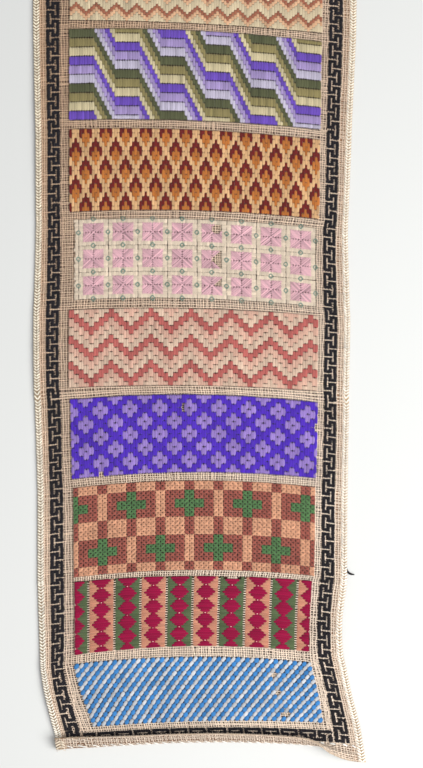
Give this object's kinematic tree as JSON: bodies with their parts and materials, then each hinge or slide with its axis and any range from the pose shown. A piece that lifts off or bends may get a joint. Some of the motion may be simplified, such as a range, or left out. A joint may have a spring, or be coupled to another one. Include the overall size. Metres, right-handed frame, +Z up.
{
  "type": "needlework sampler",
  "caption": "Long narrow band sampler in wool on open canvas, lying face up, with a black key border, plaited side edges and a foot hem curled over the face.",
  "frame": {"origin": "centre of the bounding box's base, on the surface that the cloth lies on", "axes": "+Z up out of the worked face, +Y along the length towards the uncurled top hem, +X to the right seen from above"},
  "size_m": [0.1928, 0.5026, 0.0107],
  "materials": {
    "canvas": "matt",
    "wool": "matt"
  },
  "bodies": {
    "root": {"canvas": "canvas"}
  },
  "joints": []
}
